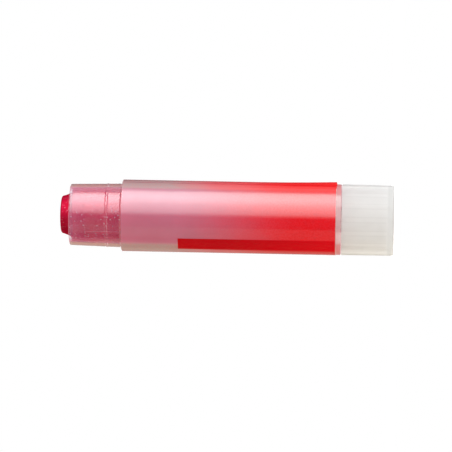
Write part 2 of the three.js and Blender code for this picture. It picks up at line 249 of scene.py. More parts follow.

# Film: hazy where there is no ink, and more so where it turns away from the eye, with a painted reflection
# there
FILM_TONES = ((0.72, 0.26, 0.40), (0.67, 0.235, 0.36))
FILM_HAZE = 0.58
FILM_SIDE = (0.30, 0.42)
FILM_SIDE_COVER = 0.92
FILM_PAINTED_REFLECTION_TONES = ((0.475, 0.325, 0.33), (0.62, 0.28, 0.32))
FILM_PAINTED_REFLECTION_Z = (FILM_TOP_Z - 12.45, FILM_TOP_Z - 20.45)
# Painted shade along the film's outline: span of turn and its tone
FILM_OUTLINE = (0.70, 0.92)
FILM_OUTLINE_PAINTED_SHADE = (0.48, 0.11, 0.16)
GLUE_TONES = ((0.9, 0.86, 0.87), (0.8, 0.74, 0.76))

# Ink: a gradient from none to full, with a bare margin at a part of the foot, and a plain strip
INK_START_Z = FILM_TOP_Z - 10.05
INK_FULL_Z = FILM_FOOT_Z + 7.4
INK_DRIFT = 1.2
INK_FULL = 0.97
INK_GRAIN = 0.04
INK_SIDE_POWER = 0.62
INK_TONES = ((0.83, 0.007, 0.014), (0.79, 0.005, 0.012))
INK_MOTTLE = (0.52, 0.75)
INK_MOTTLE_SHARE = 0.45
INK_MOTTLE_TONE = (0.66, 0.004, 0.014)
# Painted light on the ink's edge on the +X side, towards the key light, and painted shade on the -X side
INK_LIT_SIDE = (11.46, 34.38)
INK_PAINTED_LIGHT_TONE = (0.96, 0.020, 0.022)
INK_SHADED_SIDE = (-45.84, -68.75)
INK_PAINTED_SHADE_TONE = (0.66, 0.010, 0.010)
# The margin's pale tone is partly a painted highlight on the film's cut edge
MARGIN = 0.1
MARGIN_BLUR = 0.02
MARGIN_END = (60.16, 57.3)
MARGIN_AND_PAINTED_HIGHLIGHT_TONE = (0.90, 0.60, 0.60)
STRIP_TOP_Z = FILM_TOP_Z - 13.4
STRIP_BLUR = 0.05
STRIP_FROM = (-64.2, -63.8)
STRIP_TO = (-37.4, -37.8)
STRIP_COVER = 0.97
STRIP_TONES = ((0.52, 0.001, 0.006), (0.72, 0.002, 0.009))
STRIP_TONES_Z = (STRIP_TOP_Z - 11.05, FILM_FOOT_Z + 2.3)

# Knob's plastic: milkiness of its outside and of its socket, and painted light and shade over the splines
KNOB_SKINS = {"frosted_white": 0.70, "frosted_white_socket": 0.4}
KNOB_TONES = ((0.82, 0.816, 0.82), (0.84, 0.836, 0.84))
KNOB_END_TONE = (0.73, 0.727, 0.73)
KNOB_END_Z = (SOCKET_FLOOR_Z + 0.1, SOCKET_FLOOR_Z - 0.3)
# Painted shade along the knob's outline: span of turn, tone and cover
KNOB_OUTLINE = (0.6, 0.95)
KNOB_OUTLINE_PAINTED_SHADE = (0.64, 0.638, 0.64)
KNOB_OUTLINE_COVER = 0.95
SPLINE_CREST = (0.35, 0.95)
SPLINE_CREST_SHARE = 0.5
SPLINE_CREST_PAINTED_LIGHT = (0.90, 0.895, 0.90)
SPLINE_FLANK = (-0.1, 0.3)
SPLINE_FLANK_SHARE = 0.28
SPLINE_FLANK_PAINTED_SHADE = (0.73, 0.725, 0.73)
SPLINES_FROM_Z = (SOCKET_FLOOR_Z - 0.1, SOCKET_FLOOR_Z + 0.3)
SPLINES_TO_Z = (KNOB_TOP_Z - 0.2, KNOB_TOP_Z - 1.0)

# Pigment: wax under a deep red sheen, with pearl flakes. Its clouds are rougher than its grain
WAX_CLOUD_RELIEF = 1.5
WAX_TONES = ((0.26, 0.0004, 0.006), (0.30, 0.0008, 0.010))
WAX_GRAIN = (0.45, 0.75)
WAX_GRAIN_SHARE = 0.35
WAX_GRAIN_TONE = (0.14, 0.0002, 0.004)
WAX_SHINE = 0.006
WAX_SHINE_ROUGHNESS = 0.45
SHEEN_TONES = ((1.0, 0.010, 0.08), (1.0, 0.014, 0.10))
SHEEN_SHARE = 0.76
SHEEN_ROUGHNESS = 0.62
FLAKE_SIZE = 0.32
FLAKE_PICK = (0.70, 0.80)
FLAKE_CORE = (0.45, 0.25)
FLAKE_WAX_SHARE = 0.7
FLAKE_WAX_TONE = (0.75, 0.12, 0.20)
FLAKE_SHEEN_SHARE = 0.6
FLAKE_SHEEN_TONE = (1.0, 0.30, 0.42)
FLAKE_ROUGHNESS = 0.42

# Plastic of the inner pieces: its name, two tones and the size of its clouds
INNER_PLASTICS = {
    "lead_screw": ("screw_plastic", ((0.93, 0.92, 0.91), (0.90, 0.89, 0.88)), 3.0),
    "carrier_cup": ("carrier_plastic", ((0.93, 0.91, 0.90), (0.90, 0.88, 0.87)), 2.0),
}
INNER_MILK = (0.55, 0.65)

# Floor. It glows a little for the eye, and runs into the white round it
FLOOR_RADIUS = 0.2
FLOOR_FADE = (0.07, 0.17)
FLOOR_TONES = ((0.80, 0.80, 0.80), (0.82, 0.82, 0.82))
FLOOR_GLOW = 0.72

# Light all round. Spans are parts of a direction's X, Y or Z
AMBIENT = 0.77
AMBIENT_WARM_SIDE = 1.28
WARM_SIDE = (0.3, -0.9)
WARM_TONE = (1.0, 0.94, 0.76)
BACKDROP = (0.70, 0.90)
BACKDROP_SLANT = 0.35
MIRRORED_AMBIENT = 0.02
MIRRORED_BACKDROP = (0.82, 1.0)
MIRRORED_BACKDROP_LEVEL = 0.40
MIRRORED_OVERHEAD = (0.35, 0.7)
MIRRORED_OVERHEAD_LEVEL = 0.22

# Lamps. The key light is a fan of tall panels between these edges, each with its own level
LAMP_DISTANCE = 1.2
LAMP_MIDDLE_Z = 0.15
KEY_HEIGHT = 0.34
KEY_TONE = (0.955, 1.0, 1.005)
KEY_STRENGTH = 0.9
KEY_EDGES = [1, 5, 8, 13, 20, 28, 36, 44, 52, 60, 70, 80, 87, 92, 98, 114, 128]
KEY_LEVELS = [0.4, 0.75, 1.6, 2.2, 2.7, 3.3, 3.9, 4.8, 5.5, 5.8, 5.5, 4.7, 2.6, 1.3, 0.8, 0.35]

# Camera. Sensor width is in millimetres, as Blender has it
CAMERA_DISTANCE = 0.85
CAMERA_SIDE = -0.00203
CAMERA_HEIGHT = 0.005
AIM_HEIGHT = 0.0399
CAMERA_ROLL = 1.13
PICTURE_WIDTH = 0.1075
SENSOR_WIDTH = 36.0
CLIP_START = 0.05
CLIP_END = 10.0

# Clear walls that a ray can pass one after another
CLEAR_LAYERS = 24

Corner = namedtuple("Corner", "radius height rounding slot relief", defaults=(0.0, 0, 0.0))
Point = namedtuple("Point", "radius height slot relief")


def rounded(corners, steps=ROUND_STEPS):
    """Closed path of points, with corners eased by their own rounding. A corner's slot holds up to
    the next corner. A point just off each end of a rounding keeps the shading of the straight
    walls straight."""
    path = []
    for index, corner in enumerate(corners):
        previous = corners[index - 1]
        following = corners[(index + 1) % len(corners)]
        here = Vector((corner.radius, corner.height))
        before = Vector((previous.radius, previous.height)) - here
        after = Vector((following.radius, following.height)) - here
        cut = min(corner.rounding, ROUND_LIMIT * before.length, ROUND_LIMIT * after.length)
        if cut <= 0:
            path.append(Point(corner.radius, corner.height, corner.slot, corner.relief))
            continue
        start = here + before.normalized() * cut
        end = here + after.normalized() * cut
        hold = here + before.normalized() * min(cut + HOLD, HOLD_LIMIT * before.length)
        path.append(Point(hold.x, hold.y, previous.slot, corner.relief))
        # The rounding is a quadratic curve from start to end that the corner pulls towards itself
        for step in range(steps + 1):
            share = step / steps
            spot = start.lerp(here, share).lerp(here.lerp(end, share), share)
            path.append(Point(spot.x, spot.y, corner.slot, corner.relief))
        hold = here + after.normalized() * min(cut + HOLD, HOLD_LIMIT * after.length)
        path.append(Point(hold.x, hold.y, corner.slot, corner.relief))
    return path


def even_angles(count):
    """Angles evenly round the axis, in degrees."""
    return [round(360.0 * step / count, 4) for step in range(count)]


def ribbed_angles(count, marks, radius):
    """Angles round the axis in radians, with extra ones at the edges of the ribs at the marks."""
    half = math.degrees(RIB_WIDTH / 2 / radius)
    sides = [-1 - RIB_FLANK, -1 + RIB_FLANK, 0, 1 - RIB_FLANK, 1 + RIB_FLANK]
    angles = set(even_angles(count))
    for mark in marks:
        angles = {angle for angle in angles if abs((angle - mark + 180) % 360 - 180) > RIB_CLEARING * half}
        angles |= {round((mark + half * side) % 360, 4) for side in sides}
    return np.radians(sorted(angles))


def rib_mask(angles, marks, radius):
    """1 on the ribs, 0 between them, with short flanks."""
    half = RIB_WIDTH / 2 / radius
    mask = np.zeros(len(angles))
    for mark in np.radians(marks):
        off = np.abs((angles - mark + np.pi) % (2 * np.pi) - np.pi) / half
        mask = np.maximum(mask, np.clip((1 + RIB_FLANK - off) / (2 * RIB_FLANK), 0, 1))
    return mask


def link(name, shape, materials):
    """Shape as an object of the scene, smooth on its curves and crisp on its edges."""
    bmesh.ops.recalc_face_normals(shape, faces=shape.faces)
    mesh = bpy.data.meshes.new(name)
    shape.to_mesh(mesh)
    shape.free()
    for skin in materials:
        mesh.materials.append(skin)
    mesh.shade_smooth()
    mesh.set_sharp_from_angle(angle=math.radians(SHARP_DEGREES))
    made = bpy.data.objects.new(name, mesh)
    bpy.context.scene.collection.objects.link(made)
    return made


def ring_of(shape, reach, angles, heights):
    """Row of points round the axis, from radii and heights in millimetres."""
    across = [reach * np.sin(angles), -reach * np.cos(angles), heights]
    return [shape.verts.new(point) for point in np.stack(across, axis=1) * MM]


def turned(name, path, angles, mask, materials):
    """Closed solid of turn. Each point's relief draws it in where the mask is 1."""
    shape = bmesh.new()
    grid = []
    for point in path:
        heights = np.full(len(angles), point.height)
        grid.append(ring_of(shape, point.radius - point.relief * mask, angles, heights))
    count = len(angles)
    for index, lower in enumerate(grid):
        following = (index + 1) % len(grid)
        upper = grid[following]
        # Two points on the axis have no faces between them
        if path[index].radius == 0 and path[following].radius == 0:
            continue
        for step in range(count):
            after = (step + 1) % count
            face = shape.faces.new((lower[step], lower[after], upper[after], upper[step]))
            face.material_index = path[index].slot
    bmesh.ops.remove_doubles(shape, verts=shape.verts, dist=WELD)
    return link(name, shape, materials)


def smoothstep(value, low, high):
    """0 up to low, 1 from high on, and an S-curve between them."""
    share = np.clip((value - low) / (high - low), 0, 1)
    return share * share * (3 - 2 * share)


class Nodes:
    """Short calls for building one node tree. Sizes, heights and angles are given to them in
    millimetres and degrees, but curve() and scale() take the units of the value itself, which are
    metres and radians for what place() gives."""

    def __init__(self, tree):
        self.tree = tree
        tree.nodes.clear()

    def add(self, kind, inputs=(), **settings):
        """New node with its settings, and with values or links on its inputs."""
        node = self.tree.nodes.new(kind)
        for key, value in settings.items():
            setattr(node, key, value)
        for key, value in dict(inputs).items():
            self.put(node.inputs[key], value)
        return node

    def put(self, socket, value):
        """Link into the socket, or its own value."""
        if isinstance(value, bpy.types.NodeSocket):
            self.tree.links.new(value, socket)
        elif isinstance(value, tuple) and len(value) == 3 and socket.type == "RGBA":
            socket.default_value = (*value, 1.0)
        else:
            socket.default_value = value

    def math(self, operation, first, second=0.0, clamp=False):
        inputs = {0: first, 1: second}
        return self.add("ShaderNodeMath", inputs, operation=operation, use_clamp=clamp).outputs[0]

    def both(self, first, second):
        """Product of two masks."""
        return self.math("MULTIPLY", first, second)

    def most(self, first, second):
        """Greater of two values."""
        return self.math("MAXIMUM", first, second)

    def scale(self, value, low, high, to_low=0.0, to_high=1.0, kind="LINEAR"):
        """Value of low to high carried over to another range, and held at its ends."""
        inputs = {"Value": value, "From Min": low, "From Max": high}
        inputs |= {"To Min": to_low, "To Max": to_high}
        return self.add("ShaderNodeMapRange", inputs, interpolation_type=kind).outputs[0]

    def fade(self, share, first, second):
        """Value between two values."""
        return self.scale(share, 0.0, 1.0, first, second)

    def curve(self, value, span, to_low=0.0, to_high=1.0):
        """Scale over a span as an S-curve."""
        return self.scale(value, *span, to_low, to_high, kind="SMOOTHSTEP")

    def along(self, height, span, to_low=0.0, to_high=1.0):
        """Scale over a span of heights."""
        return self.scale(height, span[0] * MM, span[1] * MM, to_low, to_high)

    def around(self, angle, span):
        """Scale over a span of angles round the axis."""
        return self.scale(angle, math.radians(span[0]), math.radians(span[1]))

    def noise(self, vector, size, detail=2.0, rough=0.5):
        inputs = {"Vector": vector, "Scale": 1 / (size * MM), "Detail": detail, "Roughness": rough}
        return self.add("ShaderNodeTexNoise", inputs).outputs["Fac"]

    def spread(self, noise, to_low, to_high, over=WIDE):
        """Noise as a value that varies from one end to the other."""
        return self.scale(noise, *over, to_low, to_high)

    def flecks(self, vector, size, pick, core):
        """1 in the middle of cells that are picked by chance, 0 elsewhere."""
        inputs = {"Vector": vector, "Scale": 1 / (size * MM)}
        cells = self.add("ShaderNodeTexVoronoi", inputs, feature="F1")
        chance = self.add("ShaderNodeSeparateColor", {0: cells.outputs["Color"]}).outputs[0]
        return self.both(self.scale(chance, *pick), self.scale(cells.outputs["Distance"], *core))

    def blend(self, share, first, second):
        """Colour between two colours. The node's sockets for them come after other kinds."""
        node = self.add("ShaderNodeMix", data_type="RGBA")
        self.put(node.inputs["Factor"], share)
        self.put(node.inputs[6], first)
        self.put(node.inputs[7], second)
        return node.outputs[2]

    def tones(self, noise, pair, over=WIDE):
        """Colour that varies between two tones."""
        return self.blend(self.scale(noise, *over), *pair)

    def bump(self, height, depth):
        return self.add("ShaderNodeBump", {"Height": height, "Distance": depth * MM}).outputs[0]

    def matt(self, colour, normal):
        return self.add("ShaderNodeBsdfDiffuse", {"Color": colour, "Normal": normal}).outputs[0]

    def glossy(self, colour, roughness, normal):
        inputs = {"Color": colour, "Roughness": roughness, "Normal": normal}
        return self.add("ShaderNodeBsdfAnisotropic", inputs).outputs[0]

    def glow(self, strength):
        return self.add("ShaderNodeEmission", {"Color": WHITE, "Strength": strength}).outputs[0]

    def mix(self, share, first, second):
        """Shader between two shaders."""
        return self.add("ShaderNodeMixShader", {0: share, 1: first, 2: second}).outputs[0]

    def place(self):
        """The point's own place: position, height and angle round the axis."""
        position = self.add("ShaderNodeTexCoord").outputs["Object"]
        parts = self.add("ShaderNodeSeparateXYZ", {0: position})
        depth = self.math("MULTIPLY", parts.outputs["Y"], -1.0)
        angle = self.math("ARCTAN2", parts.outputs["X"], depth)
        return position, parts.outputs["Z"], angle

    def facing(self):
        """0 where the surface is seen square on, 1 where it is seen edge on."""
        return self.add("ShaderNodeLayerWeight", {"Blend": 0.5}).outputs["Facing"]

    def upright(self):
        """1 on walls that stand along the axis, 0 on flat ends."""
        normal = self.add("ShaderNodeTexCoord").outputs["Normal"]
        slope = self.add("ShaderNodeSeparateXYZ", {0: normal}).outputs["Z"]
        return self.scale(self.math("ABSOLUTE", slope), *UPRIGHT_SLOPES, 1.0, 0.0)

    def seen(self, path):
        """1 for rays that come from the camera or that were passed on through a wall."""
        return self.most(path.outputs["Is Camera Ray"], path.outputs["Is Transmission Ray"])

    def finish(self, shader):
        self.add("ShaderNodeOutputMaterial", {"Surface": shader})


def material(name):
    """New material and its nodes."""
    made = bpy.data.materials.new(name)
    made.use_nodes = True
    return made, Nodes(made.node_tree)


def see_through(nodes, colour, cover, roughness, normal, gloss, through=0.5):
    """Thin clear plastic: milky by its cover, clear where that ends, with a gloss on top. Of the
    light that the milk takes up, the share named through goes on into the wall."""
    passing = nodes.add("ShaderNodeBsdfTranslucent", {"Color": colour, "Normal": normal}).outputs[0]
    milk = nodes.mix(through, nodes.matt(colour, normal), passing)
    clear = nodes.add("ShaderNodeBsdfTransparent", {"Color": WHITE}).outputs[0]
    turned_away = nodes.math("POWER", nodes.facing(), GLOSS_POWER)
    share = nodes.fade(turned_away, gloss, min(1.0, GLOSS_GROWTH * gloss))
    return nodes.mix(share, nodes.mix(cover, clear, milk), nodes.glossy(WHITE, roughness, normal))


def barrel_skin(name, tone, painted_reflection_tone, milk, gloss, turning):
    """Faintly milky pink plastic, with specks of pearl dust on the neck. Past its turning point,
    where a real wall only mirrors, it looks solid and takes a painted reflection, except on its flat
    ends. Its outline has painted shade."""
    made, nodes = material(name)
    position, height, _ = nodes.place()
    cloud = nodes.noise(position, size=4.0, detail=3.0)
    facing = nodes.facing()
    upright = nodes.upright()
    # Past the turning point the wall takes a painted reflection: a duller tone in place of the
    # surroundings it mirrors
    solid = nodes.both(nodes.curve(facing, (turning - TURN_BEFORE, turning + TURN_AFTER)), upright)
    # Painted shade along the outline
    outline = nodes.both(nodes.curve(facing, BARREL_OUTLINE), upright)
    pale_tone = tuple(TONE_PALING + (1 - TONE_PALING) * part for part in tone)
    colour = nodes.tones(cloud, (tone, pale_tone))
    colour = nodes.blend(solid, colour, painted_reflection_tone)
    colour = nodes.blend(outline, colour, BARREL_OUTLINE_PAINTED_SHADE)
    colour = nodes.blend(upright, BARREL_END_TONE, colour)
    veil = nodes.along(height, MOUTH_VEIL_Z, milk, milk + MOUTH_VEIL)
    cover = nodes.fade(solid, nodes.fade(upright, BARREL_END_MILK, veil), PAINTED_REFLECTION_COVER)
    flecks = nodes.flecks(position, SPECK_SIZE, SPECK_PICK, SPECK_CORE)
    speck = nodes.both(flecks, nodes.along(height, SPECK_Z, 0.0, SPECK_COVER))
    colour = nodes.blend(speck, colour, SPECK_TONE)
    cover = nodes.most(cover, speck)
    normal = nodes.bump(nodes.noise(position, size=0.25, detail=3.0), depth=0.004)
    roughness = nodes.spread(cloud, 0.12, 0.18)
    nodes.finish(see_through(nodes, colour, cover, roughness, normal, gloss))
    return made


def barrel_bore():
    """Inner wall, faintly smeared with pigment."""
    made, nodes = material("bore_smear")
    position, _, _ = nodes.place()
    smear = nodes.noise(position, size=2.2, detail=4.0)
    side = nodes.curve(nodes.facing(), BORE_SIDE)
    colour = nodes.blend(side, nodes.tones(smear, BORE_TONES, NARROW), BORE_SIDE_TONE)
    cover = nodes.fade(side, nodes.spread(smear, *BORE_MILK, NARROW), BORE_SIDE_COVER)
    normal = nodes.bump(smear, depth=0.01)
    roughness = nodes.spread(smear, 0.25, 0.35)
    nodes.finish(see_through(nodes, colour, cover, roughness, normal, gloss=0.008))
    return made


def print_masks(nodes, height, angle):
    """Where the film has its strip, where its margin is bare, and where it isn't."""
    foot = FILM_FOOT_Z + MARGIN
    low = nodes.along(height, (foot + MARGIN_BLUR, foot - MARGIN_BLUR))
    margin = nodes.both(low, nodes.around(angle, MARGIN_END))
    printed = nodes.math("SUBTRACT", 1.0, margin)
    below = nodes.along(height, (STRIP_TOP_Z + STRIP_BLUR, STRIP_TOP_Z - STRIP_BLUR))
    strip = nodes.both(nodes.both(nodes.around(angle, STRIP_FROM), nodes.around(angle, STRIP_TO)), below)
    return nodes.both(strip, printed), margin, printed


def ink_tone(nodes, position, angle, grain, side):
    """Mottled red of the ink. Turned away from the eye it has painted light on the +X side, towards
    the key light, and painted shade on the -X side.
    """
    mottle = nodes.noise(position, size=1.1, detail=5.0, rough=0.6)
    red = nodes.tones(grain, INK_TONES, NARROW)
    red = nodes.blend(nodes.scale(mottle, *INK_MOTTLE, 0.0, INK_MOTTLE_SHARE), red, INK_MOTTLE_TONE)
    # Painted light on the +X side and painted shade on the -X side
    red = nodes.blend(nodes.both(side, nodes.around(angle, INK_LIT_SIDE)), red, INK_PAINTED_LIGHT_TONE)
    return nodes.blend(nodes.both(side, nodes.around(angle, INK_SHADED_SIDE)), red, INK_PAINTED_SHADE_TONE)


def film_print():
    """Hazy gloss film printed with a red gradient and a plain dark red strip. Where it turns away
    from the eye, its ink looks denser and its haze greyer, a painted reflection."""
    made, nodes = material("printed_film")
    position, height, angle = nodes.place()
    grain = nodes.noise(position, size=0.35)
    drift = nodes.noise(position, size=6.0)
    facing = nodes.facing()
    side = nodes.curve(facing, FILM_SIDE)
    strip, margin, printed = print_masks(nodes, height, angle)

    level = nodes.math("ADD", height, nodes.spread(drift, -INK_DRIFT * MM, INK_DRIFT * MM))
    ink = nodes.curve(level, (INK_START_Z * MM, INK_FULL_Z * MM), 0.0, INK_FULL)
    ink = nodes.math("ADD", ink, nodes.spread(grain, -INK_GRAIN, INK_GRAIN), clamp=True)
    ink = nodes.math("POWER", nodes.both(ink, printed), nodes.fade(side, 1.0, INK_SIDE_POWER))
    cover = nodes.fade(ink, nodes.fade(side, FILM_HAZE, FILM_SIDE_COVER), 1.0)

    haze = nodes.tones(drift, FILM_TONES)
    # Turned away from the eye, the haze takes a painted reflection, greyer near the top
    haze = nodes.blend(side, haze, nodes.blend(nodes.along(height, FILM_PAINTED_REFLECTION_Z), *FILM_PAINTED_REFLECTION_TONES))
    # Painted shade along the outline
    haze = nodes.blend(nodes.curve(facing, FILM_OUTLINE), haze, FILM_OUTLINE_PAINTED_SHADE)
    inked = ink_tone(nodes, position, angle, grain, side)
    colour = nodes.blend(nodes.math("DIVIDE", ink, cover), haze, inked)
    # Pale margin at the foot: an unprinted band, and partly a painted highlight on the film's cut edge
    colour = nodes.blend(margin, colour, MARGIN_AND_PAINTED_HIGHLIGHT_TONE)
    colour = nodes.blend(strip, colour, nodes.blend(nodes.along(height, STRIP_TONES_Z), *STRIP_TONES))
    cover = nodes.most(cover, nodes.both(strip, STRIP_COVER))
    normal = nodes.bump(drift, depth=0.02)
    roughness = nodes.spread(drift, 0.085, 0.11)
    nodes.finish(see_through(nodes, colour, cover, roughness, normal, gloss=0.09, through=0.2))
    return made


def film_back():
    """Glued side of the film: clear, with a faint haze of glue."""
    made, nodes = material("film_glue_side")
    position, _, _ = nodes.place()
    haze = nodes.noise(position, size=3.0, detail=3.0)
    colour = nodes.blend(haze, *GLUE_TONES)
    cover = nodes.spread(haze, 0.01, 0.04, NARROW)
    normal = nodes.bump(haze, depth=0.01)
    roughness = nodes.spread(haze, 0.4, 0.5)
    nodes.finish(see_through(nodes, colour, cover, roughness, normal, gloss=0.004))
    return made


def knob_skin(name, milk):
    """Frosted white plastic, with painted light over the splines behind it and painted shade beside them.
    """
    made, nodes = material(name)
    position, height, angle = nodes.place()
    wave = nodes.math("COSINE", nodes.math("MULTIPLY", angle, float(SPLINE_COUNT)))
    splined = nodes.both(nodes.along(height, SPLINES_FROM_Z), nodes.along(height, SPLINES_TO_Z))
    # Painted light over the splines and painted shade beside them, for the light that comes through the
    # wall
    crest = nodes.curve(wave, SPLINE_CREST)
    flank = nodes.most(nodes.math("SUBTRACT", nodes.curve(wave, SPLINE_FLANK), crest), 0.0)
    over = nodes.both(nodes.both(crest, splined), SPLINE_CREST_SHARE)
    beside = nodes.both(nodes.both(flank, splined), SPLINE_FLANK_SHARE)
    # Painted shade along the outline
    outline = nodes.both(nodes.curve(nodes.facing(), KNOB_OUTLINE), nodes.upright())
    cloud = nodes.noise(position, size=3.0, detail=3.0)
    colour = nodes.tones(cloud, KNOB_TONES)
    colour = nodes.blend(nodes.along(height, KNOB_END_Z), colour, KNOB_END_TONE)
    colour = nodes.blend(over, colour, SPLINE_CREST_PAINTED_LIGHT)
    colour = nodes.blend(beside, colour, SPLINE_FLANK_PAINTED_SHADE)
    colour = nodes.blend(outline, colour, KNOB_OUTLINE_PAINTED_SHADE)
    cover = nodes.fade(outline, milk, KNOB_OUTLINE_COVER)
    normal = nodes.bump(nodes.noise(position, size=0.18, detail=4.0), depth=0.01)
    roughness = nodes.spread(cloud, 0.42, 0.5)
    nodes.finish(see_through(nodes, colour, cover, roughness, normal, gloss=0.03, through=0.55))
    return made


def pigment_wax():
    """Deep red waxy pigment with fine grain and scattered pearl flakes."""
    made, nodes = material("pearl_pigment")
    position, _, _ = nodes.place()
    grain = nodes.noise(position, size=0.22, detail=4.0)
    cloud = nodes.noise(position, size=1.6, detail=3.0)
    flake = nodes.flecks(position, FLAKE_SIZE, FLAKE_PICK, FLAKE_CORE)
    relief = nodes.math("ADD", grain, nodes.math("MULTIPLY", cloud, WAX_CLOUD_RELIEF))
    normal = nodes.bump(relief, depth=0.03)
    colour = nodes.tones(cloud, WAX_TONES)
    colour = nodes.blend(nodes.scale(grain, *WAX_GRAIN, 0.0, WAX_GRAIN_SHARE), colour, WAX_GRAIN_TONE)
    colour = nodes.blend(nodes.both(flake, FLAKE_WAX_SHARE), colour, FLAKE_WAX_TONE)
    sheen_tone = nodes.tones(cloud, SHEEN_TONES)
    sheen_tone = nodes.blend(nodes.both(flake, FLAKE_SHEEN_SHARE), sheen_tone, FLAKE_SHEEN_TONE)
    roughness = nodes.fade(flake, SHEEN_ROUGHNESS, FLAKE_ROUGHNESS)
    body = nodes.mix(SHEEN_SHARE, nodes.matt(colour, normal), nodes.glossy(sheen_tone, roughness, normal))
    nodes.finish(nodes.mix(WAX_SHINE, body, nodes.glossy(WHITE, WAX_SHINE_ROUGHNESS, normal)))
    return made


def inner_plastic(name, pair, size):
    """Plain white moulded plastic of the inner pieces, which lets some light through."""
    made, nodes = material(name)
    position, _, _ = nodes.place()
    cloud = nodes.noise(position, size, detail=3.0)
    colour = nodes.tones(cloud, pair)
    cover = nodes.spread(cloud, *INNER_MILK)
    normal = nodes.bump(nodes.noise(position, size=0.2, detail=3.0), depth=0.01)
    roughness = nodes.spread(cloud, 0.40, 0.5)
    nodes.finish(see_through(nodes, colour, cover, roughness, normal, gloss=0.03))
    return made


def make_barrel():
    """Tube with a floor, a stepped neck with its snap bead, and four guide ribs in the bore."""
    covered, neck_skin, foot, inner = range(4)
    slope = (NECK_RIM - NECK_ROOT) / (RIM_Z - NECK_ROOT_Z)

    def bead(height, lift):
        return Corner(NECK_ROOT + slope * (height - NECK_ROOT_Z) + lift, height, BEAD_ROUND, neck_skin)

    corners = [
        Corner(JOURNAL_HOLE, FOOT_Z, HOLE_ROUND, inner),
        Corner(BODY - FOOT_TAPER, FOOT_Z, FOOT_ROUND, foot),
        Corner(BODY, FILM_FOOT_Z + FILM_OVER_FOOT_SKIN, 0.0, covered),
        Corner(BODY, FILM_TOP_Z - FILM_OVER_NECK_SKIN, 0.0, neck_skin),
        Corner(BODY, SHOULDER_Z, SHOULDER_ROUND, neck_skin),
        Corner(NECK_ROOT, NECK_ROOT_Z, ROOT_ROUND, neck_skin),
        bead(BEAD_Z - BEAD_HALF_FOOT, 0.0),
        bead(BEAD_Z - BEAD_HALF_CROWN, BEAD_HEIGHT),
        bead(BEAD_Z + BEAD_HALF_CROWN, BEAD_HEIGHT),
        bead(BEAD_Z + BEAD_HALF_FOOT, 0.0),
        Corner(NECK_RIM, RIM_Z, RIM_ROUND, neck_skin),
        Corner(BORE + MOUTH_FLARE, RIM_Z, MOUTH_ROUND, inner),
        Corner(BORE, GUIDE_END_Z + GUIDE_RAMP, 0.0, inner),
        Corner(BORE, GUIDE_END_Z, 0.0, inner, GUIDE_HEIGHT),
        Corner(BORE, FLOOR_TOP_Z, 0.0, inner, GUIDE_HEIGHT),
        Corner(JOURNAL_HOLE, FLOOR_TOP_Z, HOLE_ROUND, inner),
    ]
    angles = ribbed_angles(BARREL_STEPS, GUIDE_ANGLES, BORE)
    mask = rib_mask(angles, GUIDE_ANGLES, BORE)
    skins = [barrel_skin(name, *values) for name, values in BARREL_SKINS.items()]
    return turned("barrel_tube", rounded(corners), angles, mask, [*skins, barrel_bore()])


def make_knob():
    """Drafted cup with a splined socket. It stands on a narrow flat ring round a shallow recess."""
    skin, socket = range(2)
    corners = [
        Corner(0, RECESS_Z, 0.0, skin),
        Corner(RECESS, RECESS_Z, RECESS_ROUND, skin),
        Corner(RECESS + RECESS_SLOPE, PACKED_KNOB_FOOT, RING_ROUND, skin),
        Corner(KNOB_END, PACKED_KNOB_FOOT, KNOB_CORNER, skin),
        Corner(BODY, KNOB_TOP_Z, KNOB_LIP_ROUND, skin),
        Corner(SOCKET, KNOB_TOP_Z, SOCKET_LIP_ROUND, socket, SPLINE_HEIGHT),
        Corner(SOCKET, SOCKET_FLOOR_Z, 0.0, socket, SPLINE_HEIGHT),
        Corner(0, SOCKET_FLOOR_Z, 0.0, socket),
    ]
    angles = ribbed_angles(KNOB_STEPS, SPLINE_ANGLES, SOCKET)
    mask = rib_mask(angles, SPLINE_ANGLES, SOCKET)
    skins = [knob_skin(name, milk) for name, milk in KNOB_SKINS.items()]
    return turned("knob_cup", rounded(corners), angles, mask, skins)


def make_pigment():
    """Cast stick with a tapered nose, slightly worn at its front edge, and a bore for the screw."""
    corners = [
        Corner(HUB_HOLE, PACKED_STICK_FOOT, STICK_FOOT_ROUND),
        Corner(STICK_FOOT, PACKED_STICK_FOOT, STICK_FOOT_ROUND),
        Corner(STICK_FOOT, STICK_LEDGE_Z),
        Corner(STICK, STICK_LEDGE_Z, STICK_LEDGE_ROUND),
        Corner(STICK, STICK_SHOULDER_Z, STICK_SHOULDER_ROUND),
        *[Corner(FRONT + over, FRONT_Z - depth, rounding) for over, depth, rounding in NOSE],
        Corner(FRONT * DOME_SHARE, FRONT_Z + DOME_EDGE, DOME_ROUND),
        Corner(0, FRONT_Z + DOME_TOP),
        Corner(0, STICK_BORE_END_Z),
        Corner(STICK_BORE_END, STICK_BORE_END_Z),
        Corner(STICK_BORE, STICK_BORE_END_Z - STICK_BORE_CONE, STICK_BORE_ROUND),
        Corner(STICK_BORE, HUB_HOLE_TOP_Z),
        Corner(HUB_HOLE, HUB_HOLE_TOP_Z),
    ]
    angles = np.radians(even_angles(STICK_STEPS))
    path = rounded(corners, NOSE_STEPS)
    return turned("pigment_core", path, angles, np.zeros(len(angles)), [pigment_wax()])


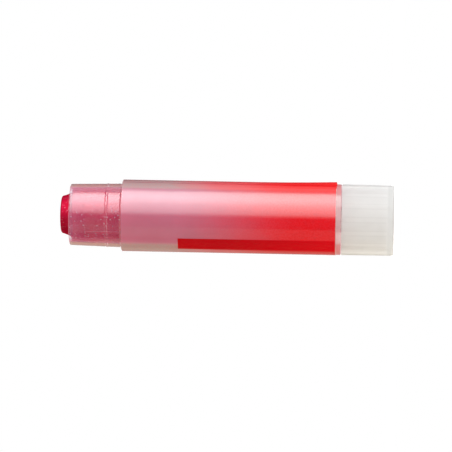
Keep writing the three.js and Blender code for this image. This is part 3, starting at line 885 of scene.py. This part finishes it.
def make_film():
    """One thin wrap whose end laps over its start, flares there near the foot and dips a little."""
    sweep = 360 + FILM_LAP
    shares = np.linspace(0, 1, FILM_COLUMNS)
    lift = FILM_LIFT * smoothstep(shares, 1 - 2 * FILM_LAP / sweep, 1 - FILM_LAP / sweep)
    dip = FILM_DIP * smoothstep(shares, *DIP_SPAN)
    flare = FILM_FLARE * smoothstep(shares, *FLARE_RISE) * (1 - smoothstep(shares, *FLARE_FALL))
    angles = np.radians(FILM_START - shares * sweep)
    shape = bmesh.new()

    def sheet(offset):
        """Rows of points of one side of the film, from its foot to its top."""
        grid = []
        for row in np.linspace(0, 1, FILM_ROWS):
            near_foot = max(0.0, 1 - row * FILM_HEIGHT / FILM_FLARE_LENGTH) ** 2
            reach = FILM_INSIDE + lift + flare * near_foot + offset
            heights = FILM_FOOT_Z - dip * (1 - row) + row * FILM_HEIGHT
            grid.append(ring_of(shape, reach, angles, heights))
        return grid

    outer, inner = sheet(FILM_THICKNESS), sheet(0.0)
    last_row, last = FILM_ROWS - 1, FILM_COLUMNS - 1
    for row in range(last_row):
        for step in range(last):
            for slot, grid in enumerate((outer, inner)):
                near, far = grid[row], grid[row + 1]
                face = shape.faces.new((near[step], near[step + 1], far[step + 1], far[step]))
                face.material_index = slot
    for step in range(last):
        for row in (0, last_row):
            over, under = outer[row], inner[row]
            shape.faces.new((over[step], over[step + 1], under[step + 1], under[step]))
    for row in range(last_row):
        for step in (0, last):
            corners = (outer[row][step], outer[row + 1][step], inner[row + 1][step], inner[row][step])
            shape.faces.new(corners)
    return link("film_wrap", shape, [film_print(), film_back()])


def make_floor():
    """Pale floor that keeps the shadow near the object and runs into the white round it."""
    made, nodes = material("pale_floor")
    position, _, _ = nodes.place()
    reach = nodes.add("ShaderNodeVectorMath", {0: position}, operation="LENGTH").outputs["Value"]
    colour = nodes.blend(nodes.noise(position, size=5.0), *FLOOR_TONES)
    lit = nodes.add("ShaderNodeBsdfDiffuse", {"Color": colour}).outputs[0]
    near = nodes.add("ShaderNodeAddShader", {0: lit, 1: nodes.glow(FLOOR_GLOW)}).outputs[0]
    view = nodes.mix(nodes.curve(reach, FLOOR_FADE), near, nodes.glow(1.0))
    path = nodes.add("ShaderNodeLightPath")
    look = nodes.most(nodes.seen(path), path.outputs["Is Glossy Ray"])
    nodes.finish(nodes.mix(look, lit, view))
    shape = bmesh.new()
    bmesh.ops.create_circle(shape, cap_ends=True, segments=FLOOR_STEPS, radius=FLOOR_RADIUS)
    floor = link("floor", shape, [made])


def make_world():
    """White where it is seen. Its light is soft and even, a little stronger and warmer from -X,
    with the white backdrop behind the object. Gloss mirrors a dark room with a dim backdrop and a
    soft patch overhead."""
    world = bpy.data.worlds.new("studio")
    bpy.context.scene.world = world
    world.use_nodes = True
    nodes = Nodes(world.node_tree)
    direction = nodes.add("ShaderNodeTexCoord").outputs["Generated"]
    parts = nodes.add("ShaderNodeSeparateXYZ", {0: direction})
    side, back, up = (parts.outputs[axis] for axis in "XYZ")
    warm = nodes.curve(side, WARM_SIDE)
    level = nodes.curve(back, BACKDROP, nodes.fade(warm, AMBIENT, AMBIENT_WARM_SIDE), 1.0)
    slanted = nodes.math("SUBTRACT", back, nodes.math("MULTIPLY", side, BACKDROP_SLANT))
    mirrored = nodes.curve(slanted, MIRRORED_BACKDROP, MIRRORED_AMBIENT, MIRRORED_BACKDROP_LEVEL)
    mirrored = nodes.curve(up, MIRRORED_OVERHEAD, mirrored, MIRRORED_OVERHEAD_LEVEL)
    path = nodes.add("ShaderNodeLightPath")
    look = nodes.seen(path)
    level = nodes.fade(look, nodes.fade(path.outputs["Is Glossy Ray"], level, mirrored), 1.0)
    colour = nodes.blend(look, nodes.blend(warm, WHITE, WARM_TONE), WHITE)
    sky = nodes.add("ShaderNodeBackground", {"Color": colour, "Strength": level}).outputs[0]
    nodes.add("ShaderNodeOutputWorld", {"Surface": sky})


def panel(name, degrees, width, height, radiance, colour=WHITE, middle=LAMP_MIDDLE_Z, raised=0.0):
    """Flat lamp at an angle round the object, of one brightness, that the camera doesn't see."""
    lamp = bpy.data.lights.new(name, "AREA")
    lamp.shape = "RECTANGLE"
    lamp.size = width
    lamp.size_y = height
    lamp.energy = radiance * math.pi * width * height
    lamp.color = colour
    made = bpy.data.objects.new(name, lamp)
    turn, rise = math.radians(degrees), math.radians(raised)
    away = Vector((math.sin(turn) * math.cos(rise), -math.cos(turn) * math.cos(rise), math.sin(rise)))
    made.location = away * LAMP_DISTANCE + Vector((0, 0, middle))
    made.rotation_euler = away.to_track_quat("Z", "Y").to_euler()
    made.visible_camera = False
    bpy.context.scene.collection.objects.link(made)
    return made


def make_lamps():
    """Tall key light on the +X side, brightest from 60 to 70 degrees round, and weaker lamps."""
    for index, level in enumerate(KEY_LEVELS):
        low, high = KEY_EDGES[index : index + 2]
        width = 2 * LAMP_DISTANCE * math.tan(math.radians(high - low) / 2)
        panel(f"key_{index}", (low + high) / 2, width, KEY_HEIGHT, KEY_STRENGTH * level, KEY_TONE)
    panel("fill", -54.0, width=0.8, height=1.6, radiance=0.22, colour=(1.0, 0.88, 0.74), middle=0.3)
    # The gloss doesn't mirror the warm card, because that would turn the strip orange
    card = panel("card", -115.0, width=1.2, height=0.5, radiance=2.2, colour=(1.0, 0.74, 0.28))
    card.visible_glossy = False
    panel("back", 180.0, width=0.5, height=0.5, radiance=1.0, middle=0.2)
    panel("top", 50.0, width=0.7, height=0.6, radiance=2.1, middle=0.07, raised=48.0)


def make_camera():
    """Long lens, rolled so that the object lies along the picture with its tip to the left."""
    camera = bpy.data.cameras.new("camera")
    camera.sensor_width = SENSOR_WIDTH
    camera.lens = SENSOR_WIDTH * CAMERA_DISTANCE / PICTURE_WIDTH
    camera.clip_start = CLIP_START
    camera.clip_end = CLIP_END
    made = bpy.data.objects.new("camera", camera)
    place = Vector((CAMERA_SIDE, -CAMERA_DISTANCE, CAMERA_HEIGHT))
    aim = Vector((CAMERA_SIDE, 0.0, AIM_HEIGHT))
    forward = (aim - place).normalized()
    roll = math.radians(CAMERA_ROLL)
    right = Vector((math.sin(roll), 0, -math.cos(roll)))
    right = (right - right.dot(forward) * forward).normalized()
    up = right.cross(forward)
    turn = Matrix((right, up, -forward)).transposed()
    made.matrix_world = Matrix.Translation(place) @ turn.to_4x4()
    bpy.context.scene.collection.objects.link(made)
    bpy.context.scene.camera = made


barrel = make_barrel()
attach(barrel, "tube")
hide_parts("barrel")

film = make_film()
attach(film, "tube")
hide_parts("label_film")

knob = make_knob()
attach(knob, "knob")
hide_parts("twist_knob")

pigment = make_pigment()
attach(pigment, "feed")
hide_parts("pigment_stick")

for node, (name, pair, size) in INNER_PLASTICS.items():
    plastic = inner_plastic(name, pair, size)
    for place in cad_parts[node].material_slots:
        place.material = plastic

make_floor()
make_world()
make_lamps()
make_camera()

scene = bpy.context.scene
scene.view_settings.view_transform = "Standard"
scene.cycles.transparent_max_bounces = CLEAR_LAYERS

bpy.context.view_layer.update()
